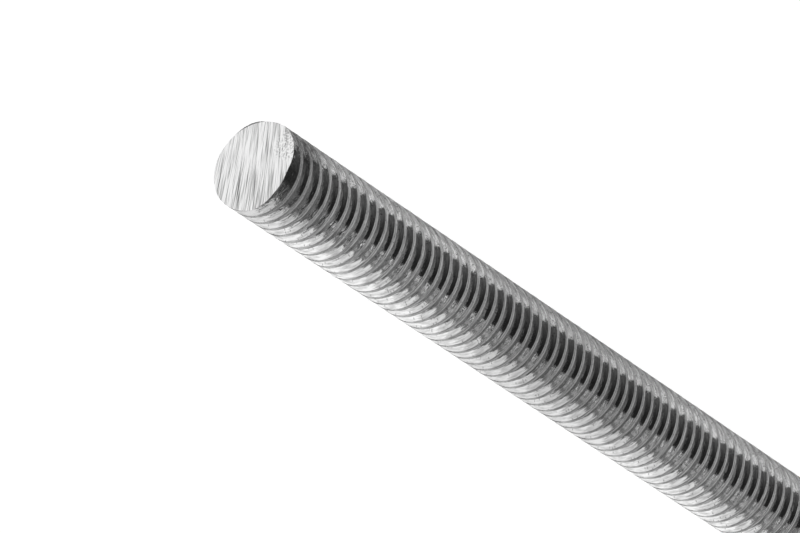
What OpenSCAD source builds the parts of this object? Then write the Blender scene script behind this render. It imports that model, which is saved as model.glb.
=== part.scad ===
// Threaded rod: steel bar threaded from end to end, sawn to length at both ends.
// It stands upright on its lower end, with the origin at the centre of that end.
// The thread is too fine for this model, which is the rod's outside over the crests.

/* [Rod] */
// Diameter over the crests, the nominal size of a 5/16 inch thread
crest_d = 7.94; // [3:0.01:20]
// Length, measured along the longest side
rod_l = 101.6; // [30:0.1:150]

/* [Saw cut] */
// How far the cut across the upper end leans from square, in degrees
cut_lean = 4; // [0:0.5:10]

/* [Hidden] */
// Fineness of round shapes on screen
$fn = 96;
// Radius over the crests
crest_r = crest_d / 2;
// Side of the block that the saw cut takes away, wide enough to clear the rod
waste = 2 * crest_d;

// What the saw takes off the upper end: the cut starts at the -X side and falls towards +X
module upper_waste() {
    translate([-crest_r, -waste / 2, rod_l])
        rotate([0, cut_lean, 0])
            translate([-crest_r, 0, 0])
                cube([2 * waste, waste, waste]);
}

// The rod, one solid piece
module threaded_rod() {
    color("silver")
        difference() {
            cylinder(r = crest_r, h = rod_l);
            upper_waste();
        }
}

threaded_rod();
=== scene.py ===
import math

import bmesh
import bpy
import numpy as np
from mathutils import Matrix, Vector


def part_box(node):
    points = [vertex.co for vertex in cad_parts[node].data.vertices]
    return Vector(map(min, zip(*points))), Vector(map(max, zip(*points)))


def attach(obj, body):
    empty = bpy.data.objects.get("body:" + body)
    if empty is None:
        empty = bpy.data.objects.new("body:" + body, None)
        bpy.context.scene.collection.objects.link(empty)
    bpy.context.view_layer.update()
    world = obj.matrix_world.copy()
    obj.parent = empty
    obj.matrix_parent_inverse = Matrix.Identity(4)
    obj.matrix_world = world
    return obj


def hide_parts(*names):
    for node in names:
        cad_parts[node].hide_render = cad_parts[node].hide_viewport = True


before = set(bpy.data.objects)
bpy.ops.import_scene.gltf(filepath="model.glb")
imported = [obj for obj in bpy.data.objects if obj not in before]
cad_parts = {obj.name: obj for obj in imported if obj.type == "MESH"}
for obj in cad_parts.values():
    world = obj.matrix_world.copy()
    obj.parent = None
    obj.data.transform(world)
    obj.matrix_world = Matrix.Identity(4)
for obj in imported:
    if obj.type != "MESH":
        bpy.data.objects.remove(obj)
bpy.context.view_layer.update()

mm = 0.001
rodLow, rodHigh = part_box("threaded_rod")
crestRadius = (rodHigh.x - rodLow.x) / 2
rodLength = rodHigh.z


def toLinear(hexColour):
    # sRGB hex, as picked in any paint program, to the linear colour that shaders take
    channels = [int(hexColour[i:i + 2], 16) / 255 for i in (1, 3, 5)]
    return [c / 12.92 if c <= 0.04045 else ((c + 0.055) / 1.055) ** 2.4 for c in channels] + [1.0]


def addNode(tree, kind, settings=None, links=None, values=None):
    # settings are the node's own properties, links is {input: (node, output)} and values is {input: value}
    node = tree.nodes.new(kind)
    for key, value in (settings or {}).items():
        setattr(node, key, value)
    for key, value in (values or {}).items():
        node.inputs[key].default_value = value
    for key, (source, output) in (links or {}).items():
        tree.links.new(source.outputs[output], node.inputs[key])
    return node


def newMaterial(name):
    material = bpy.data.materials.new(name)
    material.use_nodes = True
    tree = material.node_tree
    return material, tree, tree.nodes["Principled BSDF"]


def onRod(degrees, radius, height):
    # a point from its angle, +X towards +Y, its distance from the rod's axis and its height
    angle = math.radians(degrees)
    return (radius * math.cos(angle), radius * math.sin(angle), height)


rod = {
    "pitch": 25.4 / 18 * mm,  # 18 turns an inch
    "crestHalf": 0.145,  # half the crest's width, in pitches, before its edges are rounded
    "rootHalf": 0.012,  # the same for the root
    "depth": 0.58,  # thread depth in pitches
    "rounding": 0.009,  # how softly crest and root are rounded, in pitches
    "seamHalf": 0.08,  # half the width of the hollow seam that rolling leaves along the crest, in pitches
    "seamDepth": 0.013 * mm,
    "waver": 0.006 * mm,  # how far the rolled thread strays from true
    "wearAway": 0.012 * mm,  # how much lower the most rubbed stretches of crest are
    "wearSpread": 0.3,  # more than 0 rubs more of the crest than it leaves
    # how many waves make up the noise, and the slowest and the fastest that they can be, in cycles a turn
    "waverNoise": (9, 1.5, 12.0),
    "wearNoise": (7, 0.7, 5.6),
    "segments": 52,  # round one turn
    # places across half a turn, from mid crest to mid root, in pitches
    "profile": (0.0, 0.027, 0.055, 0.08, 0.11, 0.132, 0.145, 0.158,
                0.31, 0.47, 0.485, 0.493, 0.5),
    "cutLean": 4.0,  # degrees that the sawn end leans from square
    "crestBelowCut": 0.60,  # from the cut's middle down to the front crest, in pitches
    "brokenEdge": 0.09,  # how much of the turn above the cut's thin edge has broken away, in pitches
    "thinEdge": 0.32,  # the edge is thin where the cut is this far below that turn's crest, in pitches
    "seed": 7,
}
# the rod's materials, in the order in which they are added: thread, sawn ends, burr
sawnSlot = 1
burrSlot = 2

saw = {
    "heading": 38.0,  # degrees from +X towards +Y that the teeth ran
    # between one tooth mark and the next; the finest real ones are too fine to show, so these are coarser
    "stripe": 0.11 * mm,
    "stretch": 1.3 * mm,  # how soon a mark changes along its length
    "depth": 0.007 * mm,
    "reach": 4.5 * mm,  # how far the marks run from the middle, past the rim
    "shift": 0.013 * mm,  # moves all of them a little across
    "variety": (200, 12),  # how many depths there are, across and along the marks
}

# a curl of metal that the blade pushed out past the thread, behind the sawn face
burr = {
    "from": 31.0,  # degrees from +X towards +Y
    "to": 76.0,
    "width": 0.20 * mm,
    "droop": 0.10 * mm,
    "thickness": 0.03 * mm,
    # it is rooted this far inside the crest, between these depths below the cut
    "root": 0.10 * mm,
    "rootDepths": (0.03 * mm, 0.08 * mm),
    "ragged": 0.75,  # its narrowest steps, as a share of the full width
    "taper": 0.6,  # less makes its ends blunter
    "steps": 40,
}


onPlane = 1e-6  # metres, how close to the saw's plane a point counts as lying on it
splitAt = 1e-8  # metres, how close to a cut a point is used again instead of adding another


def softRamp(x, softness):
    # 0 below zero and x above it, with the corner rounded off
    erf = np.vectorize(math.erf)
    bell = np.exp(-0.5 * (x / softness) ** 2) / math.sqrt(2 * math.pi)
    return x * 0.5 * (1 + erf(x / softness / math.sqrt(2))) + softness * bell


def threadDepth(fromCrest):
    # depth below the crests at a distance from mid crest (0) towards mid root (0.5), all in pitches
    rootStart = 0.5 - rod["rootHalf"]
    steepness = rod["depth"] / (rootStart - rod["crestHalf"])
    down = softRamp(fromCrest - rod["crestHalf"], rod["rounding"])
    level = softRamp(fromCrest - rootStart, rod["rounding"])
    return steepness * (down - level)


def wander(random, turns, across, noise):
    # smooth noise in about -1..1 along the thread, the same each run
    waves, slowest, fastest = noise
    total = np.zeros(np.broadcast(turns, across).shape)
    for _ in range(waves):
        pace = random.uniform(slowest, fastest)
        slant = random.uniform(-1, 1)
        start = random.uniform()
        total += np.sin(2 * np.pi * (pace * turns + slant * across + start)) / waves ** 0.5
    return total


def buildRod():
    slope = math.tan(math.radians(rod["cutLean"]))
    pitch = rod["pitch"]
    segments = rod["segments"]
    random = np.random.default_rng(rod["seed"])
    half = np.array(rod["profile"])
    # across one turn: from mid root, over the crest, to just short of the next mid root
    profile = np.concatenate([-half[:0:-1], half[:-1]])
    points = len(profile)
    crestWeight = 0.5 + 0.5 * np.cos(2 * np.pi * profile)  # 1 at mid crest, 0 at mid root
    cutMiddle = rodLength - crestRadius * slope
    frontCrest = cutMiddle - rod["crestBelowCut"] * pitch

    # one column of points for each step round, and the next step starts a little higher: a right-hand thread
    turnsUp = math.ceil((rodLength - frontCrest) / pitch) + 2
    turnsDown = math.ceil(frontCrest / pitch) + 2
    turns = np.arange(turnsUp + turnsDown)
    turnOf, placeOf = [grid.ravel() for grid in np.meshgrid(turns, profile, indexing="ij")]
    steps = np.arange(segments)[:, None] / segments
    along = turnOf[None, :] + steps  # turns along the thread
    angle = 2 * math.pi * (steps + 0.75)  # starts at the front, -Y
    crestHeight = frontCrest + pitch * (along - turnsDown)

    # the rolled thread wavers a little, and its crests are rubbed lower in places
    weight = np.tile(crestWeight, len(turns))[None, :]
    wave = wander(random, along, placeOf[None, :], rod["waverNoise"]) * rod["waver"] * weight
    rubbed = wander(random, along, 0 * placeOf[None, :], rod["wearNoise"]) + rod["wearSpread"]
    onCrest = (np.abs(placeOf) < rod["crestHalf"])[None, :]
    worn = np.clip(rubbed, 0, 1) * rod["wearAway"] * onCrest

    # the last turn's edge has broken back where the cut left it thin
    cutHeight = rodLength - crestRadius * (1 + np.cos(angle)) * slope
    cutPlace = (cutHeight - crestHeight) / pitch  # where the cut meets each turn, from its mid crest
    lastTurn = (cutPlace > -0.5) & (cutPlace < 0) & (placeOf[None, :] < 0)
    broken = lastTurn * rod["brokenEdge"] * np.clip(-cutPlace / rod["thinEdge"], 0, 1)
    fromCrest = np.minimum(np.abs(placeOf[None, :]) + broken, 0.5)

    inSeam = np.minimum(np.abs(placeOf) / rod["seamHalf"], 1)
    seam = rod["seamDepth"] * (0.5 + 0.5 * np.cos(np.pi * inSeam))[None, :]
    radius = crestRadius - pitch * threadDepth(fromCrest) - seam - worn
    height = crestHeight + pitch * placeOf[None, :] + wave
    verts = np.stack([radius * np.cos(angle), radius * np.sin(angle), height], axis=-1).reshape(-1, 3)

    rows = len(turns) * points
    edges = np.append(profile, 0.5) + 0.5
    faces = []
    corners = []
    for step in range(segments):
        following = (step + 1) % segments
        lift = points if following == 0 else 0
        for row in range(rows - 1 - lift):
            a = step * rows + row
            b = following * rows + row + lift
            faces.append((a, b, b + 1, a + 1))
            turn, point = divmod(row, points)
            u0 = turn + step / segments
            u1 = u0 + 1 / segments
            v0, v1 = edges[point], edges[point + 1]
            corners += [(u0, v0), (u1, v0), (u1, v1), (u0, v1)]

    mesh = bpy.data.meshes.new("threadedRod")
    mesh.from_pydata(verts.tolist(), [], faces)
    layer = mesh.uv_layers.new(name="alongThread")
    layer.data.foreach_set("uv", np.array(corners, dtype=np.float32).ravel())
    mesh.shade_smooth()

    bm = bmesh.new()
    bm.from_mesh(mesh)
    lean = math.radians(rod["cutLean"])
    sawThrough(bm, Vector((-crestRadius, 0, rodLength)), Vector((math.sin(lean), 0, math.cos(lean))), random)
    sawThrough(bm, Vector((0, 0, 0)), Vector((0, 0, -1)), random)
    addBurr(bm, random)
    for edge in bm.edges:
        edge.smooth = len({face.material_index for face in edge.link_faces}) == 1
    bm.to_mesh(mesh)
    bm.free()
    triangles = sum(len(face.vertices) - 2 for face in mesh.polygons)
    print("threaded rod:", len(mesh.vertices), "points,", triangles, "triangles")
    return bpy.data.objects.new("threadedRodBody", mesh)


def cutFaces(bm, place, normal):
    # the faces that the saw left on one plane
    sawnFaces = [f for f in bm.faces if f.material_index == sawnSlot]
    return [f for f in sawnFaces if abs((f.verts[0].co - place).dot(normal)) < onPlane]


def sawThrough(bm, place, normal, random):
    # cuts the rod off flat, closes it, and scores the new face with tooth marks
    everything = bm.verts[:] + bm.edges[:] + bm.faces[:]
    bmesh.ops.bisect_plane(bm, geom=everything, dist=splitAt, plane_co=place, plane_no=normal,
                           clear_outer=True)
    openEdges = [e for e in bm.edges if e.is_boundary]
    rim = [e for e in openEdges if all(abs((v.co - place).dot(normal)) < onPlane for v in e.verts)]
    made = bmesh.ops.contextual_create(bm, geom=rim)["faces"]
    bmesh.ops.recalc_face_normals(bm, faces=made)
    for face in made:
        face.material_index = sawnSlot
        if face.normal.dot(normal) < 0:
            face.normal_flip()

    alongMark = Vector(onRod(saw["heading"], 1, 0))
    acrossMark = Vector(onRod(saw["heading"] + 90, 1, 0))
    reach = saw["reach"]
    for way, spacing in ((acrossMark, saw["stripe"]), (alongMark, saw["stretch"])):
        for offset in np.arange(-reach, reach, spacing):
            sawnParts = [item for f in cutFaces(bm, place, normal) for item in (f, *f.edges, *f.verts)]
            line = way * (offset + saw["shift"])
            geom = list(dict.fromkeys(sawnParts))  # each part once
            bmesh.ops.bisect_plane(bm, geom=geom, dist=splitAt, plane_co=line, plane_no=way)

    acrossCount, alongCount = saw["variety"]
    marks = random.uniform(0, 1, (acrossCount, alongCount))
    for vert in dict.fromkeys(v for f in cutFaces(bm, place, normal) for v in f.verts):
        across = round((vert.co.dot(acrossMark) + reach) / saw["stripe"])
        down = round((vert.co.dot(alongMark) + reach) / saw["stretch"])
        vert.co -= normal * saw["depth"] * marks[across % acrossCount, down % alongCount]


def addBurr(bm, random):
    slope = math.tan(math.radians(rod["cutLean"]))
    upper, lower = burr["rootDepths"]
    rings = []
    for share in np.linspace(0, 1, burr["steps"]):
        degrees = burr["from"] + (burr["to"] - burr["from"]) * share
        width = burr["width"] * math.sin(math.pi * share) ** burr["taper"] * random.uniform(burr["ragged"], 1)
        section = [
            (-burr["root"], upper),
            (width, burr["droop"]),
            (width, burr["droop"] + burr["thickness"]),
            (-burr["root"], lower),
        ]
        ring = []
        for out, down in section:
            x, y, _ = onRod(degrees, crestRadius + out, 0)
            ring.append(bm.verts.new((x, y, rodLength - slope * (x + crestRadius) - down)))
        rings.append(ring)
    sides = len(rings[0])
    faces = [bm.faces.new(rings[0][::-1]), bm.faces.new(rings[-1])]
    for before, after in zip(rings, rings[1:]):
        for k in range(sides):
            faces.append(bm.faces.new((before[k], before[(k + 1) % sides], after[(k + 1) % sides], after[k])))
    bmesh.ops.recalc_face_normals(bm, faces=faces)
    for face in faces:
        face.material_index = burrSlot


rodPiece = buildRod()
bpy.context.scene.collection.objects.link(rodPiece)


zinc = {
    "colour": "#e2e2e2",
    "dullColour": "#b0b0b0",
    "dirtColour": "#9a9a9a",
    "scuffColour": "#707070",
    "roughness": (0.05, 0.14),  # where the dies polished it most and least
    "crestRoughness": 0.10,  # added on the crests, which no die touched
    "crestFade": (-0.03, 0.04),  # from inside the crest's edge to outside it, in pitches
    # length along the thread, width across it, and how many finer layers it has
    # the real lines are a few hundredths of a millimetre wide, too fine to show, so they are drawn coarser
    "grain": {
        "dieLines": (5.0 * mm, 0.12 * mm, 3.0),
        "swell": (4.5 * mm, 2.6 * mm, 1.0),
        "crestLines": (1.2 * mm, 0.11 * mm, 3.0),
        "hairLines": (0.5 * mm, 0.07 * mm, 1.0),
        "cloud": (1.3 * mm, 0.12 * mm, 4.0),
        "scuffs": (0.9 * mm, 0.18 * mm, 3.0),
    },
    "relief": {
        "swell": 0.05 * mm,
        "dieLines": 0.014 * mm,
        "hairLines": 0.009 * mm,
        "crestLines": 0.024 * mm,
        "pits": 0.0015 * mm,
        "scuffs": 0.04 * mm,
    },
    "dullRange": (0.42, 0.70),  # where in the cloud's noise the zinc starts to look dull and is dullest
    "polishRange": (0.3, 0.7),  # where in it the zinc is smoothest and roughest
    # pits lie in small cells: the radii of a pit's floor and rim, and the share of cells that hold one
    "pitSpacing": 0.26 * mm,
    "pitFloor": 0.018 * mm,
    "pitRim": 0.072 * mm,
    "pitShare": 0.25,
    # dulled by handling halfway down: from here to there below the upper end, the share that is fully dulled,
    # and how much
    "handled": (25.6 * mm, 63.6 * mm),
    "handledFull": 0.4,
    "handledDull": 0.42,
    # rubbed and oiled by the sawing below the upper end: over this depth, and what that adds
    "oiled": 9 * mm,
    "oiledDull": 0.62,
    "oiledRoughness": 0.06,
    "oiledHairLines": 2.0,
    # scuffed where the vice held it for sawing: degrees from +X towards +Y, inwards from the crests, and
    # below the upper end
    "scuffSide": -23.96,
    "scuffInside": 0.03 * mm,
    "scuffBelow": 2.0 * mm,
    "scuffReach": 3.6 * mm,
    "scuffFull": 0.35,  # share of that reach that is fully scuffed
    "scuffRange": (0.3, 0.65),  # where in the scuffs' noise the metal starts to darken and is darkest
}


def zincPlatedRolledSteel():
    # mild steel, thread rolled between dies and bright zinc plated: a mirror drawn out into fine lines along
    # the thread, with duller crests, where the metal was squeezed up and met in a seam, and a few pits
    material, tree, shader = newMaterial("zincPlatedRolledSteel")
    thread = addNode(tree, "ShaderNodeUVMap", {"uv_map": "alongThread"})
    place = addNode(tree, "ShaderNodeTexCoord")
    turnLength = 2 * math.pi * crestRadius

    grain = {}
    for name, (length, width, detail) in zinc["grain"].items():
        stretch = addNode(tree, "ShaderNodeMapping", links={"Vector": (thread, "UV")},
                          values={"Scale": (turnLength / length, rod["pitch"] / width, 1)})
        grain[name] = addNode(tree, "ShaderNodeTexNoise", links={"Vector": (stretch, "Vector")},
                              values={"Scale": 1.0, "Detail": detail})

    # 1 on the crest and 0 on the flanks
    inner, outer = zinc["crestFade"]
    threadAxes = addNode(tree, "ShaderNodeSeparateXYZ", links={"Vector": (thread, "UV")})
    offCrest = addNode(tree, "ShaderNodeMath", {"operation": "SUBTRACT"}, {0: (threadAxes, "Y")}, {1: 0.5})
    fromCrest = addNode(tree, "ShaderNodeMath", {"operation": "ABSOLUTE"}, {0: (offCrest, "Value")})
    crest = addNode(tree, "ShaderNodeMapRange", {"interpolation_type": "SMOOTHSTEP"},
                    {"Value": (fromCrest, "Value")},
                    {"From Min": rod["crestHalf"] + outer, "From Max": rod["crestHalf"] + inner})
    crestGrain = addNode(tree, "ShaderNodeMath", {"operation": "MULTIPLY"},
                         {0: (grain["crestLines"], "Fac"), 1: (crest, "Result")})

    # 1 on the floor of a pit, and only some of the cells hold one
    spacing = zinc["pitSpacing"]
    cellPlace = addNode(tree, "ShaderNodeMapping", links={"Vector": (thread, "UV")},
                        values={"Scale": (turnLength / spacing, rod["pitch"] / spacing, 1)})
    cells = addNode(tree, "ShaderNodeTexVoronoi", {"voronoi_dimensions": "2D"},
                    {"Vector": (cellPlace, "Vector")}, {"Scale": 1.0})
    nearPit = addNode(tree, "ShaderNodeMapRange", links={"Value": (cells, "Distance")},
                      values={"From Min": zinc["pitRim"] / spacing, "From Max": zinc["pitFloor"] / spacing})
    chance = addNode(tree, "ShaderNodeSeparateColor", links={"Color": (cells, "Color")})
    chosen = addNode(tree, "ShaderNodeMath", {"operation": "LESS_THAN"}, {0: (chance, "Red")},
                     {1: zinc["pitShare"]})
    pit = addNode(tree, "ShaderNodeMath", {"operation": "MULTIPLY"},
                  {0: (nearPit, "Result"), 1: (chosen, "Value")})

    # how much the handling dulls, most in the middle of its stretch
    start, end = [rodLength - below for below in zinc["handled"]]
    halfStretch = (start - end) / 2
    rodAxes = addNode(tree, "ShaderNodeSeparateXYZ", links={"Vector": (place, "Object")})
    fromMiddle = addNode(tree, "ShaderNodeMath", {"operation": "SUBTRACT"}, {0: (rodAxes, "Z")},
                         {1: (start + end) / 2})
    offMiddle = addNode(tree, "ShaderNodeMath", {"operation": "ABSOLUTE"}, {0: (fromMiddle, "Value")})
    handled = addNode(tree, "ShaderNodeMapRange", {"interpolation_type": "SMOOTHSTEP"},
                      {"Value": (offMiddle, "Value")},
                      {"From Min": halfStretch, "From Max": zinc["handledFull"] * halfStretch,
                       "To Max": zinc["handledDull"]})
    # 1 at the upper end, falling away below it
    oiled = addNode(tree, "ShaderNodeMapRange", {"interpolation_type": "SMOOTHSTEP"},
                    {"Value": (rodAxes, "Z")}, {"From Min": rodLength - zinc["oiled"], "From Max": rodLength})
    oiledDull = addNode(tree, "ShaderNodeMath", {"operation": "MULTIPLY"}, {0: (oiled, "Result")},
                        {1: zinc["oiledDull"]})
    # 1 where the vice gripped
    grip = onRod(zinc["scuffSide"], crestRadius - zinc["scuffInside"], rodLength - zinc["scuffBelow"])
    reach = zinc["scuffReach"]
    fromGrip = addNode(tree, "ShaderNodeVectorMath", {"operation": "DISTANCE"},
                       {0: (place, "Object")}, {1: grip})
    inGrip = addNode(tree, "ShaderNodeMapRange", {"interpolation_type": "SMOOTHSTEP"},
                     {"Value": (fromGrip, "Value")},
                     {"From Min": reach, "From Max": zinc["scuffFull"] * reach})
    scuff = addNode(tree, "ShaderNodeMath", {"operation": "MULTIPLY"},
                    {0: (grain["scuffs"], "Fac"), 1: (inGrip, "Result")})

    # colour: cloudy zinc, duller where it was handled and oiled, dirt in the pits, dark in the scuffs
    used = addNode(tree, "ShaderNodeMath", {"operation": "MAXIMUM"},
                   {0: (handled, "Result"), 1: (oiledDull, "Value")})
    dullFrom, dullTo = zinc["dullRange"]
    dull = addNode(tree, "ShaderNodeMapRange",
                   links={"Value": (grain["cloud"], "Fac"), "To Min": (used, "Value")},
                   values={"From Min": dullFrom, "From Max": dullTo})
    cloudy = addNode(tree, "ShaderNodeMix", {"data_type": "RGBA"}, {"Factor": (dull, "Result")},
                     {"A": toLinear(zinc["colour"]), "B": toLinear(zinc["dullColour"])})
    pitted = addNode(tree, "ShaderNodeMix", {"data_type": "RGBA"},
                     {"Factor": (pit, "Value"), "A": (cloudy, "Result")}, {"B": toLinear(zinc["dirtColour"])})
    scuffFrom, scuffTo = zinc["scuffRange"]
    scuffed = addNode(tree, "ShaderNodeMapRange", links={"Value": (scuff, "Value")},
                      values={"From Min": scuffFrom, "From Max": scuffTo})
    colour = addNode(tree, "ShaderNodeMix", {"data_type": "RGBA"},
                     {"Factor": (scuffed, "Result"), "A": (pitted, "Result")},
                     {"B": toLinear(zinc["scuffColour"])})
    tree.links.new(colour.outputs["Result"], shader.inputs["Base Color"])

    polished, unpolished = zinc["roughness"]
    polishFrom, polishTo = zinc["polishRange"]
    flankRoughness = addNode(tree, "ShaderNodeMapRange", links={"Value": (grain["cloud"], "Fac")},
                             values={"From Min": polishFrom, "From Max": polishTo,
                                     "To Min": polished, "To Max": unpolished})
    crestRoughness = addNode(tree, "ShaderNodeMath", {"operation": "MULTIPLY_ADD"},
                             {0: (crest, "Result"), 2: (flankRoughness, "Result")},
                             {1: zinc["crestRoughness"]})
    roughness = addNode(tree, "ShaderNodeMath", {"operation": "MULTIPLY_ADD"},
                        {0: (oiled, "Result"), 2: (crestRoughness, "Value")}, {1: zinc["oiledRoughness"]})
    tree.links.new(roughness.outputs["Value"], shader.inputs["Roughness"])
    shader.inputs["Metallic"].default_value = 1.0

    # the surface, from its longest waves to its pits and scuffs
    hairStrength = addNode(tree, "ShaderNodeMapRange", links={"Value": (oiled, "Result")},
                           values={"To Min": 1.0, "To Max": 1 + zinc["oiledHairLines"]})
    hairs = addNode(tree, "ShaderNodeMath", {"operation": "MULTIPLY"},
                    {0: (grain["hairLines"], "Fac"), 1: (hairStrength, "Result")})
    layers = {
        "swell": (grain["swell"], "Fac"),
        "dieLines": (grain["dieLines"], "Fac"),
        "hairLines": (hairs, "Value"),
        "crestLines": (crestGrain, "Value"),
        "pits": (pit, "Value"),
        "scuffs": (scuff, "Value"),
    }
    normal = None
    for name, source in layers.items():
        links = {"Height": source}
        if normal:
            links["Normal"] = (normal, "Normal")
        normal = addNode(tree, "ShaderNodeBump", {"invert": name == "pits"}, links,
                         {"Distance": zinc["relief"][name]})
    tree.links.new(normal.outputs["Normal"], shader.inputs["Normal"])
    return material


sawn = {
    "colour": "#efefef",
    # dirt and painted shade: the low parts of the tooth marks are darkened for the shadow in them and the
    # dark facets they mirror
    "scoreDirtAndShadeColour": "#6c6c6c",
    "roughness": (0.32, 0.5),  # on the high marks and in the low ones
    "roughnessRange": (0.65, 0.35),  # height of those, in the marks' noise
    "scoreRange": (0.53, 0.37),  # height where the marks start to darken with dirt and painted shade, and are darkest
    "fan": -1100.0,  # how many degrees a metre the marks turn, going from right to left across them
    # length and width of the marks, how far they are turned from the rest, and their share
    # the finest real scratches are too fine to show, so the last are drawn coarser
    "marks": [
        (9.0 * mm, 0.60 * mm, 2.0, 0.22),
        (5.0 * mm, 0.17 * mm, 1.0, 0.30),
        (3.2 * mm, 0.075 * mm, -4.0, 0.48),
    ],
    "markDetail": 2.5,
    "markDepth": 0.012 * mm,
    # torn where the blade broke out: degrees from +X towards +Y, and inwards from the rim
    "tornSide": -27.35,
    "tornInside": 0.705 * mm,
    "tornRadius": 1.7 * mm,
    "tornFull": 0.5,  # share of that radius that is fully torn
    "tornGrain": 0.18 * mm,
    "tornDetail": 2.0,
    "tornShare": 0.4,
}


def sawnSteel():
    # bare mild steel straight off the saw: bright and pale, scored one way by the teeth, darker in the scores
    # with dirt and painted shade, and torn into a fine grain where the blade broke out
    material, tree, shader = newMaterial("sawnSteel")
    place = addNode(tree, "ShaderNodeTexCoord")

    # the marks fan out a little, because the blade rocked
    heading = math.radians(saw["heading"])
    left = addNode(tree, "ShaderNodeVectorMath", {"operation": "DOT_PRODUCT"}, {0: (place, "Object")},
                   {1: onRod(saw["heading"] + 90, 1, 0)})
    swung = addNode(tree, "ShaderNodeMath", {"operation": "MULTIPLY_ADD"}, {0: (left, "Value")},
                    {1: -math.radians(sawn["fan"]), 2: -heading})
    fanned = addNode(tree, "ShaderNodeVectorRotate", {"rotation_type": "Z_AXIS"},
                     {"Vector": (place, "Object"), "Angle": (swung, "Value")})
    marks = None
    for length, width, swing, share in sawn["marks"]:
        turned = addNode(tree, "ShaderNodeMapping", {"vector_type": "TEXTURE"},
                         {"Vector": (fanned, "Vector")},
                         {"Rotation": (0, 0, math.radians(swing)), "Scale": (length, width, 1)})
        noise = addNode(tree, "ShaderNodeTexNoise", links={"Vector": (turned, "Vector")},
                        values={"Scale": 1.0, "Detail": sawn["markDetail"]})
        links = {0: (noise, "Fac")}
        if marks:
            links[2] = (marks, "Value")
        marks = addNode(tree, "ShaderNodeMath", {"operation": "MULTIPLY_ADD"}, links, {1: share, 2: 0.0})

    flatPlace = addNode(tree, "ShaderNodeVectorMath", {"operation": "MULTIPLY"}, {0: (place, "Object")},
                        {1: (1, 1, 0)})
    tornMiddle = onRod(sawn["tornSide"], crestRadius - sawn["tornInside"], 0)
    away = addNode(tree, "ShaderNodeVectorMath", {"operation": "DISTANCE"}, {0: (flatPlace, "Vector")},
                   {1: tornMiddle})
    torn = addNode(tree, "ShaderNodeMapRange", {"interpolation_type": "SMOOTHSTEP"},
                   {"Value": (away, "Value")},
                   {"From Min": sawn["tornRadius"], "From Max": sawn["tornFull"] * sawn["tornRadius"]})
    grain = addNode(tree, "ShaderNodeTexNoise", links={"Vector": (flatPlace, "Vector")},
                    values={"Scale": 1 / sawn["tornGrain"], "Detail": sawn["tornDetail"]})
    tornShare = addNode(tree, "ShaderNodeMath", {"operation": "MULTIPLY"}, {0: (torn, "Result")},
                        {1: sawn["tornShare"]})
    surface = addNode(tree, "ShaderNodeMix", {"data_type": "FLOAT"},
                      {"Factor": (tornShare, "Value"), "A": (marks, "Value"), "B": (grain, "Fac")})

    # painted shade with dirt: the low parts of the marks are darkened
    scoreFrom, scoreTo = sawn["scoreRange"]
    scoreShadeAndDirt = addNode(tree, "ShaderNodeMapRange", links={"Value": (surface, "Result")},
                    values={"From Min": scoreFrom, "From Max": scoreTo})
    colour = addNode(tree, "ShaderNodeMix", {"data_type": "RGBA"}, {"Factor": (scoreShadeAndDirt, "Result")},
                     {"A": toLinear(sawn["colour"]), "B": toLinear(sawn["scoreDirtAndShadeColour"])})
    tree.links.new(colour.outputs["Result"], shader.inputs["Base Color"])
    smooth, rough = sawn["roughness"]
    high, low = sawn["roughnessRange"]
    roughness = addNode(tree, "ShaderNodeMapRange", links={"Value": (surface, "Result")},
                        values={"From Min": low, "From Max": high, "To Min": rough, "To Max": smooth})
    tree.links.new(roughness.outputs["Result"], shader.inputs["Roughness"])
    shader.inputs["Metallic"].default_value = 1.0
    bump = addNode(tree, "ShaderNodeBump", links={"Height": (surface, "Result")},
                   values={"Distance": sawn["markDepth"]})
    tree.links.new(bump.outputs["Normal"], shader.inputs["Normal"])
    return material


burrShadeAndDirt = {
    # painted shade with some dirt: the burr is coloured dark for the shade it sits in
    "colour": "#3c3c3c",
    "rubbedColour": "#8a8a8a",
    "roughness": (0.3, 0.6),
    "grain": 0.25 * mm,
    "grainDepth": 0.03 * mm,
}


def burrSteelShadeAndDirt():
    # a burr of mild steel, coloured dark as painted shade for the shadow and dark reflection it sits in, with
    # some dirt, and half dull
    material, tree, shader = newMaterial("burrSteelShadeAndDirt")
    place = addNode(tree, "ShaderNodeTexCoord")
    grain = addNode(tree, "ShaderNodeTexNoise", links={"Vector": (place, "Object")},
                    values={"Scale": 1 / burrShadeAndDirt["grain"]})
    colour = addNode(tree, "ShaderNodeMix", {"data_type": "RGBA"}, {"Factor": (grain, "Fac")},
                     {"A": toLinear(burrShadeAndDirt["colour"]), "B": toLinear(burrShadeAndDirt["rubbedColour"])})
    tree.links.new(colour.outputs["Result"], shader.inputs["Base Color"])
    smooth, rough = burrShadeAndDirt["roughness"]
    roughness = addNode(tree, "ShaderNodeMapRange", links={"Value": (grain, "Fac")},
                        values={"To Min": smooth, "To Max": rough})
    tree.links.new(roughness.outputs["Result"], shader.inputs["Roughness"])
    shader.inputs["Metallic"].default_value = 1.0
    bump = addNode(tree, "ShaderNodeBump", links={"Height": (grain, "Fac")},
                   values={"Distance": burrShadeAndDirt["grainDepth"]})
    tree.links.new(bump.outputs["Normal"], shader.inputs["Normal"])
    return material


for finish in (zincPlatedRolledSteel, sawnSteel, burrSteelShadeAndDirt):
    rodPiece.data.materials.append(finish())
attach(rodPiece, "root")
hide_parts("threaded_rod")
print("materials done")


def rectangle(x0, x1, y0, y1):
    return [(x0, y0), (x1, y0), (x1, y1), (x0, y1)]


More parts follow.
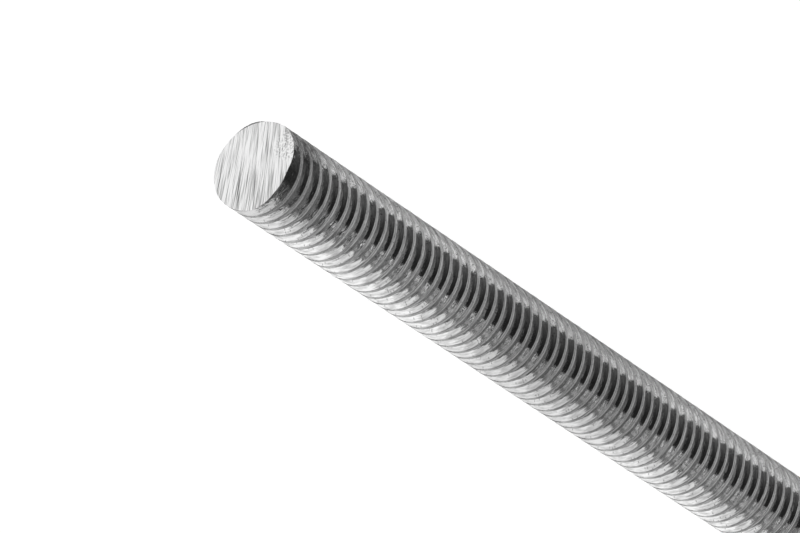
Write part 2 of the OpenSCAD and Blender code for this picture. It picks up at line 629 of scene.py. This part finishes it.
studio = {
    "middle": 60 * mm,  # height that the lights and cards are placed from
    # radiance of the room where no light or card shows: (sine of the angle above level, radiance)
    "room": [
        (-0.95, 0.20),
        (-0.85, 0.22),
        (-0.79, 0.31),
        (-0.775, 0.37),
        (-0.755, 0.59),
        (-0.30, 0.42),
        (0.0, 0.27),
        (0.3, 0.22),
        (1.0, 0.22),
    ],
    "floorColour": "#f4f4f4",
    "floorRoughness": 0.6,
    "floorGlow": 0.55,
    "floorSize": 4.0,
    # name, place, the way it faces, width, height, radiance
    "lights": [
        ("leftWall", (-2.0, 0.5, 1.92), (1, 0, 0), 3.0, 3.84, 0.68),
        ("backWall", (0.0, 2.0, 2.05), (0, -1, 0), 4.0, 4.1, 0.89),
        ("rightWall", (2.0, 0.6, 2.1), (-1, 0, 0), 2.8, 3.0, 0.30),
        ("leftBackWall", (-1.99, 1.15, 1.92), (1, 0, 0), 1.7, 3.84, 0.33),
        ("leftLow", (-2.0, 1.3, -0.7), (1, 0, 0), 1.8, 1.4, 0.4),
        ("backLow", (0.0, 2.0, -0.7), (0, -1, 0), 4.0, 1.4, 0.5),
        ("rightLow", (2.0, 1.4, -0.7), (-1, 0, 0), 1.2, 1.4, 0.4),
        ("underLight", (-1.1, 1.7, -1.4), (0.45, -0.7, 0.57), 2.6, 2.6, 0.34),
    ],
    # flat cards seen only in the metal: height above the middle, corners in x and y as shares of that height,
    # and the light they give back, from their -X side (0) to their +X side (1)
    "cards": {
        "blackCard": (1.6, [(-0.12, -1.0), (1.30, -1.0), (1.30, -0.60), (0.4875, 0.05), (-0.12, 0.05)],
                      [(0.0, 0.018), (0.19, 0.019), (0.31, 0.029), (0.42, 0.05), (0.53, 0.075), (0.65, 0.11),
                       (1.0, 0.12)]),
        "blackEdge": (0.109, [(0.333, -0.019), (1.17, -0.647), (1.30, -0.469), (0.46, 0.161)],
                      [(0.0, 0.085), (0.4, 0.095), (1.0, 0.11)]),
        "ceilingBack": (1.6, rectangle(-0.50, 0.48, 0.06, 0.50), [(0.0, 0.9), (1.0, 0.7)]),
        "ceilingLeft": (1.6, rectangle(-0.50, -0.12, -0.16, 0.06), [(0.0, 0.9), (1.0, 0.8)]),
        "ceilingFront": (1.6, rectangle(-1.5, 1.5, -2.8, -1.3), [(0.0, 0.7), (1.0, 0.6)]),
        "paleStrip": (1.5, rectangle(-0.33, -0.15, -0.475, -0.44), [(0.0, 1.3)]),
        "greyStrip": (1.5, rectangle(-0.495, -0.39, -0.62, -0.30), [(0.0, 0.50), (1.0, 0.55)]),
        "darkEdge": (1.5, rectangle(-0.52, -0.495, -1.0, -0.25), [(0.0, 0.08)]),
        "lowCard": (0.14, rectangle(-0.283, -0.094, -0.364, -0.285), [(0.0, 0.05)]),
        "smallCard": (0.091, rectangle(-0.30, -0.04, -0.31, -0.10), [(0.0, 0.05)]),
        "underCard": (-1.2, rectangle(-0.6, 0.62, 0.56, 3.0), [(0.0, 0.0)]),
        "underStrip": (-1.25, rectangle(0.55, 1.0, 0.05, 0.56),
                       [(0.0, 0.7), (0.2, 0.7), (0.24, 0.3), (0.44, 0.3), (0.48, 0.7), (0.68, 0.7),
                        (0.72, 0.3)]),
    },
    # one card above the right of the black card, with light and dark bars in shares of its width
    "louvre": {
        "height": 1.7,
        "corners": rectangle(0.48, 1.6, -0.6, 0.9),
        "count": 8,
        "pitch": 0.083,
        "bar": [(0.0, 1.3), (0.034, 1.3), (0.041, 0.14), (0.076, 0.14)],
    },
    # thin slats left of the black card, each light one followed by a dark one
    "slats": {
        "height": 1.5,
        "x": (-0.36, -0.12),
        "startY": -0.43,
        "count": 3,
        "pitch": 0.075,
        "lightWidth": 0.020,
        "lightGlow": 0.9,
        "darkGlow": 0.10,
    },
}


def fillRamp(ramp, glow):
    stops = ramp.color_ramp.elements
    while len(stops) > len(glow):
        stops.remove(stops[-1])
    while len(stops) < len(glow):
        stops.new(0.5)
    for stop, (position, radiance) in zip(stops, glow):
        stop.position = position
        stop.color = [radiance] * 3 + [1]


def addLights():
    for name, place, facing, width, height, radiance in studio["lights"]:
        light = bpy.data.lights.new(name, "AREA")
        light.shape = "RECTANGLE"
        light.size = width
        light.size_y = height
        light.energy = radiance * math.pi * width * height
        lamp = bpy.data.objects.new(name, light)
        lamp.location = Vector(place) + Vector((0, 0, studio["middle"]))
        lamp.rotation_euler = (-Vector(facing)).to_track_quat("Z", "Y").to_euler()
        lamp.visible_camera = False
        bpy.context.scene.collection.objects.link(lamp)


def addRoom():
    # a dim room for the metal to mirror, and plain white behind the rod
    world = bpy.data.worlds.new("studioRoom")
    bpy.context.scene.world = world
    world.use_nodes = True
    tree = world.node_tree
    tree.nodes.clear()
    place = addNode(tree, "ShaderNodeTexCoord")
    axes = addNode(tree, "ShaderNodeSeparateXYZ", links={"Vector": (place, "Generated")})
    level = addNode(tree, "ShaderNodeMapRange", links={"Value": (axes, "Z")}, values={"From Min": -1.0})
    ramp = addNode(tree, "ShaderNodeValToRGB", links={"Fac": (level, "Result")})
    fillRamp(ramp, [((sine + 1) / 2, radiance) for sine, radiance in studio["room"]])
    room = addNode(tree, "ShaderNodeBackground", links={"Color": (ramp, "Color")})
    white = addNode(tree, "ShaderNodeBackground", values={"Color": (1, 1, 1, 1)})
    path = addNode(tree, "ShaderNodeLightPath")
    both = addNode(tree, "ShaderNodeMixShader",
                   links={"Fac": (path, "Is Camera Ray"), 1: (room, "Background"), 2: (white, "Background")})
    addNode(tree, "ShaderNodeOutputWorld", links={"Surface": (both, "Shader")})


def addFloor():
    # opal acrylic lit from below: pale, even and without a reflection
    half = studio["floorSize"] / 2
    mesh = bpy.data.meshes.new("floor")
    mesh.from_pydata([(x, y, 0) for x, y in rectangle(-half, half, -half, half)], [], [(0, 1, 2, 3)])
    floor = bpy.data.objects.new("floor", mesh)
    material, _, shader = newMaterial("opalAcrylic")
    shader.inputs["Base Color"].default_value = toLinear(studio["floorColour"])
    shader.inputs["Roughness"].default_value = studio["floorRoughness"]
    shader.inputs["Specular IOR Level"].default_value = 0.0
    shader.inputs["Emission Color"].default_value = (1, 1, 1, 1)
    shader.inputs["Emission Strength"].default_value = studio["floorGlow"]
    mesh.materials.append(material)
    floor.visible_glossy = False
    bpy.context.scene.collection.objects.link(floor)


def addCard(name, height, corners, glow):
    mesh = bpy.data.meshes.new(name)
    points = [(abs(height) * x, abs(height) * y, height + studio["middle"]) for x, y in corners]
    mesh.from_pydata(points, [], [tuple(range(len(points)))])
    card = bpy.data.objects.new(name, mesh)
    material, tree, _ = newMaterial(name)
    tree.nodes.clear()
    place = addNode(tree, "ShaderNodeTexCoord")
    axes = addNode(tree, "ShaderNodeSeparateXYZ", links={"Vector": (place, "Generated")})
    ramp = addNode(tree, "ShaderNodeValToRGB", links={"Fac": (axes, "X")})
    fillRamp(ramp, glow)
    light = addNode(tree, "ShaderNodeEmission", links={"Color": (ramp, "Color")})
    addNode(tree, "ShaderNodeOutputMaterial", links={"Surface": (light, "Emission")})
    mesh.materials.append(material)
    card.visible_camera = False
    card.visible_diffuse = False
    card.visible_shadow = False
    bpy.context.scene.collection.objects.link(card)


def buildStudio():
    addLights()
    addRoom()
    addFloor()
    for name, (height, corners, glow) in studio["cards"].items():
        addCard(name, height, corners, glow)
    louvre = studio["louvre"]
    bars = [(louvre["pitch"] * k + edge, glow) for k in range(louvre["count"])
            for edge, glow in louvre["bar"]]
    addCard("louvre", louvre["height"], louvre["corners"], bars)
    slats = studio["slats"]
    for k in range(slats["count"]):
        start = slats["startY"] + k * slats["pitch"]
        change = start + slats["lightWidth"]
        end = start + slats["pitch"]
        addCard(f"lightSlat{k + 1}", slats["height"], rectangle(*slats["x"], start, change),
                [(0.0, slats["lightGlow"])])
        addCard(f"darkSlat{k + 1}", slats["height"], rectangle(*slats["x"], change, end),
                [(0.0, slats["darkGlow"])])


buildStudio()
print("studio done")


view = {
    "lens": 353,  # mm
    "sensor": 36,  # mm wide
    "target": (-0.266 * mm, 0, 79.44 * mm),
    "distance": 647 * mm,
    "elevation": 49.86,
    "roll": -56.17,
    "clip": (0.05, 50),
}


def placeCamera():
    scene = bpy.context.scene
    lens = bpy.data.cameras.new("camera")
    lens.lens = view["lens"]
    lens.sensor_width = view["sensor"]
    lens.clip_start, lens.clip_end = view["clip"]
    camera = bpy.data.objects.new("camera", lens)
    elevation = math.radians(view["elevation"])
    back = Vector((0, -math.cos(elevation), math.sin(elevation)))  # from the target towards the camera
    place = Matrix.Translation(Vector(view["target"]) + back * view["distance"])
    aim = back.to_track_quat("Z", "Y").to_matrix().to_4x4()
    camera.matrix_world = place @ aim @ Matrix.Rotation(math.radians(view["roll"]), 4, "Z")
    scene.collection.objects.link(camera)
    scene.camera = camera


placeCamera()
bpy.context.scene.view_settings.view_transform = "Standard"
print("camera placed")
